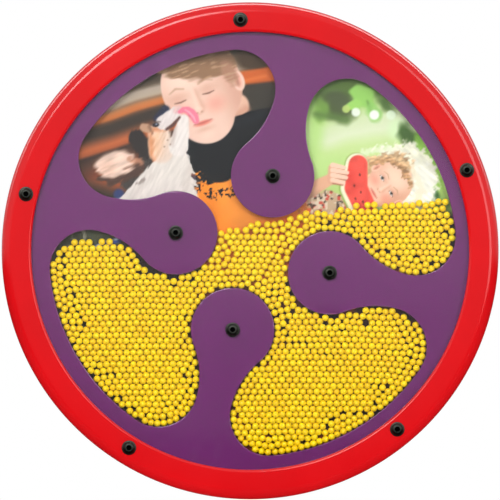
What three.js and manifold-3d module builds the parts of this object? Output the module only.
// A wall-mounted bead wheel: a large disc that a child turns by its rim. Loose beads run between
// a clear window and a printed picture, round four lobed arms, and uncover the picture as they fall.
//
// Frame: millimetres, +Z up, the wheel's axle along Y, the front facing -Y. The origin is the
// centre of the wall flange's rear face, on the axle's axis. Places along the axle are given as
// a distance out from the wall, which is -y.

import * as THREE from "three";
import { mergeVertices } from "three/addons/utils/BufferGeometryUtils.js";
import Module from "manifold-3d";

const wasm = await Module();
wasm.setup();

// ---------------------------------------------------------------- driving dimensions

const wheelRadius = 228.6; // an 18 inch wheel
const beadDiameter = 6.35; // quarter-inch balls
const contactGap = 0.1; // between stacked sheets
const fitGap = 0.3; // round a fastener or a turned part

// Places out from the wall.
const panelBack = 20;
const panelThickness = 16;
const pictureThickness = 1;
const pocketDepth = 9; // room for one layer of beads that may ride up a little
const windowThickness = 3;
const ringThickness = 19;

const panelFront = panelBack + panelThickness;
const ringBack = panelFront + contactGap;
const ringFront = ringBack + ringThickness;
const pictureBack = panelFront + contactGap;
const pocketBack = pictureBack + pictureThickness + contactGap;
const windowBack = pocketBack + pocketDepth + contactGap;
const windowFront = windowBack + windowThickness;
const lipBack = windowFront + contactGap;

// The red front ring and the panel behind it.
const ringOpeningRadius = 201;
const sheetRadius = 206.4; // the window, the pocket plate and the picture
const rabbetRadius = sheetRadius + 0.6;
const outerRoundover = 9.5;
const openingRoundover = 2.5;

// The pocket plate: four arms with round ends. Every arc is tangent to the next.
const armAngle = THREE.MathUtils.degToRad(75.4); // of the first arm, from +X towards +Z
const armCount = 4;
const patternCentre = new THREE.Vector2(2.3, -1.8); // the cut sits a little off the axle
const pocketRadius = 187.4;
const lobeOffset = 73.1;
const lobeRadius = 38.4;
const neckHalfWidth = 16.5;
const neckRadius = 78.3;
const cornerRadius = 36.2;

// The top of the settled beads, from left to right: x, z.
const beadSurface = [
  [-230, -6], [-175, 1], [-110, 7], [-25, 17], [45, 27], [95, 37], [230, 44],
];

// Fasteners.
const ringScrewCircle = 212.2;
const ringScrewDegrees = [20.4, 92.4, 165.8, 238.4, 309.5]; // hand drilled, so not quite even
const screwRadius = 3; // M6
const screwHoleRadius = screwRadius + fitGap;
const screwFlangeRadius = 6.7;
const screwDomeRadius = 5.3;
const screwHeadHeight = 3.3;
const socketAcrossFlats = 4;
const socketDepth = 2;
const insertRadius = 4.5;
const insertLength = 12;
const ringScrewLength = 29;
const lobeScrewLength = 23;

// The wall flange, which holds the bearings, and the axle that turns in them.
const flangeRadius = 70;
const flangeThickness = 6;
const flangeFillet = 5;
const bossRadius = 30;
const bossFront = 28.5;
const wallScrewCircle = 55;
const wallScrewHoleRadius = 3.25;
const wallScrewSinkRadius = 6;
const bearing = { outer: 16, inner: 10, width: 7, wall: 1.9, pitch: 13, ball: 1.7, balls: 8 };
const boreBack = 4.8;
const bearingRear = 5;
const spacerWidth = 6;
const bearingFront = bearingRear + bearing.width + spacerWidth + 2 * contactGap;
const circlipThickness = 1.2;
const axleRadius = bearing.inner - contactGap;
const axleEnd = 5.2;
const axleGrooveRadius = 8.3;
const axleGrooveWidth = 5;
const axleFlangeRadius = 50;
const axleFlangeThickness = 6;
const hubBoltCircle = 42;
const hubBoltCount = 4;
const hubBoltAngle = Math.PI / 4;
const hubBoltHeadRadius = 6;
const hubNutAcrossFlats = 10;
const hubNutHeight = 6;
const panelBoreRadius = bossRadius + 3;

const spacerBack = bearingRear + bearing.width + contactGap;
const lockScrewPlace = spacerBack + spacerWidth / 2;

// Facets round a full turn.
const wheelFacets = 80;
const hubFacets = 32;
const fastenerFacets = 12;

// ---------------------------------------------------------------- materials

const finish = (color, roughness, metalness = 0) =>
  new THREE.MeshStandardMaterial({ color, roughness, metalness });

const materials = {
  redPlastic: finish(0xe01b22, 0.25),
  purplePlastic: finish(0x74407a, 0.5),
  clearPlastic: new THREE.MeshStandardMaterial({
    color: 0xffffff, roughness: 0.05, transparent: true, opacity: 0.15,
  }),
  print: finish(0xd88a3c, 0.6),
  yellowPlastic: finish(0xfcd90a, 0.35),
  blackSteel: finish(0x151716, 0.4, 0.8),
  zincSteel: finish(0xb8bcc0, 0.35, 1),
  bearingSteel: finish(0xcfd2d6, 0.2, 1),
  brass: finish(0xc9a24a, 0.35, 1),
  aluminium: finish(0x9a9da2, 0.45, 1),
};

// ---------------------------------------------------------------- geometry helpers

// A list of [radius, place] points along an arc, angles in degrees.
function arc([centreR, centreP], radius, from, to, steps) {
  return Array.from({ length: steps + 1 }, (_, i) => {
    const angle = THREE.MathUtils.degToRad(from + ((to - from) * i) / steps);
    return [centreR + radius * Math.cos(angle), centreP + radius * Math.sin(angle)];
  });
}

// Turns a profile of [radius, place out from the wall] round the Y axis. It closes on itself
// unless it starts and ends on the axis.
function turned(profile, facets) {
  const points = profile.map(([radius, place]) => new THREE.Vector2(radius, -place));
  const onAxis = points[0].x === 0 && points.at(-1).x === 0;
  if (!onAxis) points.push(points[0].clone());
  const facesInwards = THREE.ShapeUtils.area(points) < 0;
  if (facesInwards) points.reverse();
  return new THREE.LatheGeometry(points, facets);
}

// A flat sheet of the given outline, seen from the front, between two places out from the wall.
function sheet(shape, back, front, curveSegments) {
  const options = { depth: front - back, bevelEnabled: false, curveSegments };
  return new THREE.ExtrudeGeometry(shape, options).translate(0, 0, back).rotateX(Math.PI / 2);
}

function circle(radius, centre = new THREE.Vector2()) {
  return new THREE.Shape().absarc(centre.x, centre.y, radius, 0, 2 * Math.PI);
}

function hexagon(acrossFlats) {
  const corner = acrossFlats / Math.sqrt(3);
  const points = Array.from({ length: 6 }, (_, i) => {
    const angle = (i * Math.PI) / 3;
    return new THREE.Vector2(corner * Math.cos(angle), corner * Math.sin(angle));
  });
  return new THREE.Shape(points);
}

// A peg along the wheel's axis, used to cut a hole at one point of the face.
function peg(radius, back, front, at, facets = fastenerFacets) {
  const profile = [[0, back], [radius, back], [radius, front], [0, front]];
  return turned(profile, facets).translate(at.x, 0, at.y);
}

function solidOf(geometry) {
  const bare = new THREE.BufferGeometry();
  const source = geometry.index ? geometry.toNonIndexed() : geometry;
  bare.setAttribute("position", source.getAttribute("position"));
  const merged = mergeVertices(bare, 1e-3);
  const corners = [];
  for (let i = 0; i < merged.index.count; i += 3) {
    const [a, b, c] = [0, 1, 2].map((k) => merged.index.getX(i + k));
    if (a !== b && b !== c && a !== c) corners.push(a, b, c);
  }
  return new wasm.Manifold(new wasm.Mesh({
    numProp: 3,
    vertProperties: merged.attributes.position.array,
    triVerts: new Uint32Array(corners),
  }));
}

function geometryOf(solid) {
  const { vertProperties, triVerts } = solid.getMesh();
  return new THREE.BufferGeometry()
    .setAttribute("position", new THREE.BufferAttribute(vertProperties, 3))
    .setIndex(new THREE.BufferAttribute(triVerts, 1));
}

const cut = (geometry, tools) =>
  geometryOf(tools.reduce((left, tool) => left.subtract(solidOf(tool)), solidOf(geometry)));

const joined = (geometries) =>
  geometryOf(geometries.map(solidOf).reduce((sum, next) => sum.add(next)));

// A point on a circle of the face.
const onCircle = (radius, angle) =>
  new THREE.Vector2(Math.cos(angle), Math.sin(angle)).multiplyScalar(radius);

// Points evenly spaced on a circle of the face.
function ringOf(count, radius, firstAngle, centre = new THREE.Vector2()) {
  return Array.from({ length: count }, (_, i) =>
    onCircle(radius, firstAngle + (i * 2 * Math.PI) / count).add(centre),
  );
}

const ringScrewPoints = ringScrewDegrees.map((degrees) =>
  onCircle(ringScrewCircle, THREE.MathUtils.degToRad(degrees)),
);
const lobePoints = ringOf(armCount, lobeOffset, armAngle, patternCentre);
const hubBoltPoints = ringOf(hubBoltCount, hubBoltCircle, hubBoltAngle);

// ---------------------------------------------------------------- the pocket pattern

// The one opening that the four pockets and the middle make. inset shrinks it all round.
// In each arm's own frame the arm points along +X and is the same above and below.
function pocketOutline(inset = 0) {
  const outer = pocketRadius - inset;
  const lobe = lobeRadius + inset;
  const neck = neckRadius - inset;
  const corner = cornerRadius - inset;
  const neckCentre = new THREE.Vector2(0, neckHalfWidth + neckRadius);
  neckCentre.x = lobeOffset + Math.sqrt((neck + lobe) ** 2 - neckCentre.y ** 2);

  // The corner's centre lies on two circles: round the middle and round the neck's centre.
  const fromMiddle = outer - corner;
  const fromNeck = neck - corner;
  const span = neckCentre.length();
  const along = (span ** 2 + fromMiddle ** 2 - fromNeck ** 2) / (2 * span);
  const aside = Math.sqrt(fromMiddle ** 2 - along ** 2);
  const unit = neckCentre.clone().normalize();
  const cornerCentre = new THREE.Vector2(
    unit.x * along + unit.y * aside,
    unit.y * along - unit.x * aside,
  );

  const lobeTurn = Math.atan2(neckCentre.y, neckCentre.x - lobeOffset);
  const neckStart = lobeTurn + Math.PI;
  const neckEnd = Math.atan2(cornerCentre.y - neckCentre.y, cornerCentre.x - neckCentre.x);
  const cornerEnd = Math.atan2(cornerCentre.y, cornerCentre.x);
  const quarter = Math.PI / 2;

  const shape = new THREE.Shape();
  const addArc = (centre, radius, from, to, turn, clockwise) => {
    const at = centre.clone().rotateAround(new THREE.Vector2(), turn).add(patternCentre);
    shape.absarc(at.x, at.y, radius, from + turn, to + turn, clockwise);
  };
  const flipped = (centre) => new THREE.Vector2(centre.x, -centre.y);
  const middle = new THREE.Vector2();
  const lobeCentre = new THREE.Vector2(lobeOffset, 0);
  for (let arm = 0; arm < armCount; arm++) {
    const turn = armAngle + arm * quarter;
    addArc(flipped(cornerCentre), corner, -cornerEnd, -neckEnd, turn, false);
    addArc(flipped(neckCentre), neck, -neckEnd, -neckStart + 2 * Math.PI, turn, false);
    addArc(lobeCentre, lobe, -lobeTurn, lobeTurn, turn, true);
    addArc(neckCentre, neck, neckStart, neckEnd + 2 * Math.PI, turn, false);
    addArc(cornerCentre, corner, neckEnd, cornerEnd, turn, false);
    addArc(middle, outer, cornerEnd, quarter - cornerEnd, turn, false);
  }
  return shape;
}

// ---------------------------------------------------------------- sheets and shells of the wheel

function makeFrontRing() {
  const rounded = arc(
    [wheelRadius - outerRoundover, ringFront - outerRoundover], outerRoundover, 0, 90, 4,
  );
  const opening = arc(
    [ringOpeningRadius + openingRoundover, ringFront - openingRoundover],
    openingRoundover, 90, 180, 2,
  );
  const profile = [
    [wheelRadius, ringBack],
    ...rounded,
    ...opening,
    [ringOpeningRadius, lipBack],
    [rabbetRadius, lipBack],
    [rabbetRadius, ringBack],
  ];
  const holes = ringScrewPoints.map((at) => peg(screwHoleRadius, ringBack - 1, ringFront + 1, at));
  return cut(turned(profile, wheelFacets), holes);
}

function makeBackPanel() {
  const rounded = arc(
    [wheelRadius - outerRoundover, panelBack + outerRoundover], outerRoundover, -90, 0, 4,
  );
  const hubSeat = panelFront - axleFlangeThickness - fitGap;
  const profile = [
    [panelBoreRadius, panelBack],
    ...rounded,
    [wheelRadius, panelFront],
    [axleFlangeRadius + fitGap, panelFront],
    [axleFlangeRadius + fitGap, hubSeat],
    [panelBoreRadius, hubSeat],
  ];
  const insertHoles = [...ringScrewPoints, ...lobePoints].map((at) =>
    peg(insertRadius + fitGap, panelFront - insertLength - 2, panelFront + 1, at));
  const boltHoles = hubBoltPoints.map((at) =>
    peg(screwHoleRadius, panelBack - 1, panelFront, at));
  return cut(turned(profile, wheelFacets), [...insertHoles, ...boltHoles]);
}

// A round sheet with a hole for each lobe screw, and any further openings.
function roundSheet(back, front, openings = [], curveSegments = wheelFacets / 2) {
  const shape = circle(sheetRadius);
  shape.holes = openings;
  const holes = lobePoints.map((at) => peg(screwHoleRadius, back - 1, front + 1, at));
  return cut(sheet(shape, back, front, curveSegments), holes);
}

function makePocketPlate() {
  const disc = roundSheet(pocketBack, pocketBack + pocketDepth);
  const pockets = sheet(pocketOutline(), pocketBack - 1, pocketBack + pocketDepth + 1, 5);
  return cut(disc, [pockets]);
}

// The beads as one plain body: the pockets' space, up to the top of the settled beads.
function makeBeadFill() {
  const back = pocketBack + fitGap;
  const front = pocketBack + pocketDepth - fitGap;
  const pockets = solidOf(sheet(pocketOutline(fitGap + 0.1), back, front, 5));
  const below = new THREE.Shape(beadSurface.map(([x, z]) => new THREE.Vector2(x, z)));
  below.lineTo(wheelRadius, -wheelRadius);
  below.lineTo(-wheelRadius, -wheelRadius);
  return geometryOf(pockets.intersect(solidOf(sheet(below, back - 1, front + 1, 1))));
}

// ---------------------------------------------------------------- fasteners

// A flanged button-head socket screw. Its head is seated at place 0 and faces the front.
function makeButtonScrew(length) {
  const profile = [
    [0, -length],
    [screwRadius - 0.5, -length],
    [screwRadius, 0.5 - length],
    [screwRadius, 0],
    [screwFlangeRadius, 0],
    [screwFlangeRadius, 0.8],
    [screwDomeRadius, 1.3],
    [screwDomeRadius - 0.9, 2.5],
    [screwDomeRadius - 2.4, screwHeadHeight],
    [0, screwHeadHeight],
  ];
  const socket = sheet(hexagon(socketAcrossFlats), screwHeadHeight - socketDepth,
    screwHeadHeight + 1, 1);
  return cut(turned(profile, fastenerFacets), [socket]);
}

// A threaded brass bush, pressed into the panel flush with its front.
function makeInsert() {
  const profile = [
    [screwHoleRadius, panelFront - insertLength],
    [insertRadius, panelFront - insertLength],
    [insertRadius, panelFront],
    [screwHoleRadius, panelFront],
  ];
  return turned(profile, fastenerFacets);
}

// A countersunk bolt through the axle's flange and the panel, its head flush with the flange.
function makeHubBolt() {
  const tip = panelBack - hubNutHeight - 1;
  const profile = [
    [0, tip],
    [screwRadius, tip],
    [screwRadius, panelFront - (hubBoltHeadRadius - screwRadius)],
    [hubBoltHeadRadius, panelFront],
    [0, panelFront],
  ];
  const socket = sheet(hexagon(socketAcrossFlats), panelFront - socketDepth, panelFront + 1, 1);
  return cut(turned(profile, fastenerFacets), [socket]);
}

function makeHubNut() {
  const shape = hexagon(hubNutAcrossFlats);
  shape.holes = [circle(screwHoleRadius)];
  return sheet(shape, panelBack - hubNutHeight, panelBack, fastenerFacets / 2);
}

// ---------------------------------------------------------------- hub

function makeWallFlange() {
  const boreRadius = bearing.outer + contactGap;
  const fillet = arc(
    [bossRadius + flangeFillet, flangeThickness + flangeFillet], flangeFillet, 270, 180, 3,
  );
  const profile = [
    [0, 0],
    [flangeRadius, 0],
    [flangeRadius, flangeThickness - 1],
    [flangeRadius - 1, flangeThickness],
    ...fillet,
    [bossRadius, bossFront - 1],
    [bossRadius - 1, bossFront],
    [boreRadius, bossFront],
    [boreRadius, boreBack],
    [0, boreBack],
  ];
  const wallHoles = ringOf(4, wallScrewCircle, Math.PI / 4).map((at) => {
    const sink = [
      [0, -1],
      [wallScrewHoleRadius, -1],
      [wallScrewHoleRadius, flangeThickness - 3],
      [wallScrewSinkRadius, flangeThickness],
      [wallScrewSinkRadius, flangeThickness + 1],
      [0, flangeThickness + 1],
    ];
    return turned(sink, fastenerFacets).translate(at.x, 0, at.y);
  });
  return cut(turned(profile, hubFacets), [...wallHoles, radialPeg(screwHoleRadius, 14, 40)]);
}

// A peg that stands out downwards from the axle at the lock screw's place.
function radialPeg(radius, near, far) {
  return turned([[0, near], [radius, near], [radius, far], [0, far]], fastenerFacets)
    .rotateX(-Math.PI / 2)
    .translate(0, -lockScrewPlace, 0);
}

// The grub screw whose dog point runs in the axle's groove and keeps the wheel on.
function makeLockScrew() {
  const pointRadius = 1.9;
  const profile = [
    [0, axleGrooveRadius + fitGap],
    [pointRadius, axleGrooveRadius + fitGap],
    [pointRadius, bearing.outer],
    [screwRadius, bearing.outer + 1],
    [screwRadius, bossRadius - 0.5],
    [0, bossRadius - 0.5],
  ];
  const socket = new THREE.ExtrudeGeometry(hexagon(3), { depth: 4, bevelEnabled: false })
    .translate(0, 0, -bossRadius - 1);
  const screw = turned(profile, fastenerFacets).rotateX(-Math.PI / 2);
  return cut(screw, [socket]).translate(0, -lockScrewPlace, 0);
}

function makeSpacer() {
  const profile = [
    [bearing.outer - 2.5, spacerBack],
    [bearing.outer, spacerBack],
    [bearing.outer, spacerBack + spacerWidth],
    [bearing.outer - 2.5, spacerBack + spacerWidth],
  ];
  return cut(turned(profile, hubFacets), [radialPeg(screwRadius, 11, 18)]);
}

// A ring for the bore, with its gap at the top.
function makeCirclip() {
  const back = bearingFront + bearing.width + contactGap;
  const profile = [
    [bearing.outer - 2.2, back],
    [bearing.outer, back],
    [bearing.outer, back + circlipThickness],
    [bearing.outer - 2.2, back + circlipThickness],
  ];
  const gap = new THREE.BoxGeometry(5, 4, 6).translate(0, -back - 0.5, bearing.outer - 1);
  return cut(turned(profile, hubFacets), [gap]);
}

// A bearing race between two radii, with a ball groove on the side that faces the balls.
function makeRace(back, plainRadius, groovedRadius) {
  const middle = back + bearing.width / 2;
  const clearance = 0.2;
  const inward = groovedRadius < plainRadius;
  const half = Math.asin(Math.abs(bearing.pitch - groovedRadius) / (bearing.ball + clearance));
  const halfAngle = 90 - THREE.MathUtils.radToDeg(half);
  const groove = arc([bearing.pitch, middle], bearing.ball + clearance,
    inward ? -halfAngle : 180 + halfAngle, inward ? halfAngle : 180 - halfAngle, 3);
  const profile = [
    [plainRadius, back + bearing.width],
    [plainRadius, back],
    [groovedRadius, back],
    ...groove,
    [groovedRadius, back + bearing.width],
  ];
  return turned(profile, hubFacets);
}

// The balls in their cage, as the one body that runs round between the races.
function makeBallCage(back) {
  const middle = back + bearing.width / 2;
  const halfWidth = 1.1;
  const band = [
    [bearing.pitch - 0.5, middle - halfWidth],
    [bearing.pitch + 0.5, middle - halfWidth],
    [bearing.pitch + 0.5, middle + halfWidth],
    [bearing.pitch - 0.5, middle + halfWidth],
  ];
  const balls = ringOf(bearing.balls, bearing.pitch, 0).map((at) =>
    new THREE.SphereGeometry(bearing.ball, 6, 4).translate(at.x, -middle, at.y));
  return joined([turned(band, hubFacets), ...balls]);
}

// The stub axle, in one piece with the flange that is bolted into the panel.
function makeAxle() {
  const flangeBack = panelFront - axleFlangeThickness;
  const grooveBack = lockScrewPlace - axleGrooveWidth / 2;
  const shoulder = bearingFront + bearing.width + contactGap;
  const profile = [
    [0, axleEnd],
    [axleRadius - 1, axleEnd],
    [axleRadius, axleEnd + 1],
    [axleRadius, grooveBack],
    [axleGrooveRadius, grooveBack],
    [axleGrooveRadius, grooveBack + axleGrooveWidth],
    [axleRadius, grooveBack + axleGrooveWidth],
    [axleRadius, shoulder],
    [axleRadius + 1.6, shoulder],
    [axleRadius + 1.6, flangeBack],
    [axleFlangeRadius, flangeBack],
    [axleFlangeRadius, panelFront],
    [0, panelFront],
  ];
  const holes = hubBoltPoints.map((at) => {
    const sinkBack = panelFront - (hubBoltHeadRadius - screwRadius) - fitGap;
    const sink = [
      [0, flangeBack - 1],
      [screwHoleRadius, flangeBack - 1],
      [screwHoleRadius, sinkBack],
      [hubBoltHeadRadius + fitGap, panelFront - 0.01],
      [hubBoltHeadRadius + fitGap, panelFront + 1],
      [0, panelFront + 1],
    ];
    return turned(sink, fastenerFacets).translate(at.x, 0, at.y);
  });
  return cut(turned(profile, hubFacets), holes);
}

// ---------------------------------------------------------------- assembly

const beadWheel = new THREE.Group();

function add(name, geometry, material, at = new THREE.Vector2(), place = 0) {
  const mesh = new THREE.Mesh(geometry, material);
  mesh.name = name;
  mesh.position.set(at.x, -place, at.y);
  beadWheel.add(mesh);
}

// One numbered copy of a piece at each point.
const addEach = (name, points, geometry, material, place = 0) =>
  points.forEach((at, i) => add(`${name}_${i + 1}`, geometry, material, at, place));

add("wall_flange", makeWallFlange(), materials.aluminium);
add("axle_lock_screw", makeLockScrew(), materials.blackSteel);
add("bearing_spacer", makeSpacer(), materials.zincSteel);
add("bearing_circlip", makeCirclip(), materials.blackSteel);
for (const [name, back] of [["rear", bearingRear], ["front", bearingFront]]) {
  const outerRace = makeRace(back, bearing.outer, bearing.outer - bearing.wall);
  const innerRace = makeRace(back, bearing.inner, bearing.inner + bearing.wall);
  add(`${name}_bearing_outer_race`, outerRace, materials.bearingSteel);
  add(`${name}_bearing_inner_race`, innerRace, materials.bearingSteel);
  add(`${name}_bearing_ball_cage`, makeBallCage(back), materials.bearingSteel);
}

add("axle", makeAxle(), materials.zincSteel);
addEach("hub_bolt", hubBoltPoints, makeHubBolt(), materials.zincSteel);
addEach("hub_nut", hubBoltPoints, makeHubNut(), materials.zincSteel);

add("back_panel", makeBackPanel(), materials.redPlastic);
add("picture_disc", roundSheet(pictureBack, pictureBack + pictureThickness), materials.print);
add("pocket_plate", makePocketPlate(), materials.purplePlastic);
add("bead_fill", makeBeadFill(), materials.yellowPlastic);
add("window", roundSheet(windowBack, windowFront), materials.clearPlastic);
add("front_ring", makeFrontRing(), materials.redPlastic);

const insert = makeInsert();
addEach("ring_insert", ringScrewPoints, insert, materials.brass);
addEach("lobe_insert", lobePoints, insert, materials.brass);
addEach("ring_screw", ringScrewPoints, makeButtonScrew(ringScrewLength), materials.blackSteel,
  ringFront);
addEach("lobe_screw", lobePoints, makeButtonScrew(lobeScrewLength), materials.blackSteel,
  windowFront);

export default beadWheel;
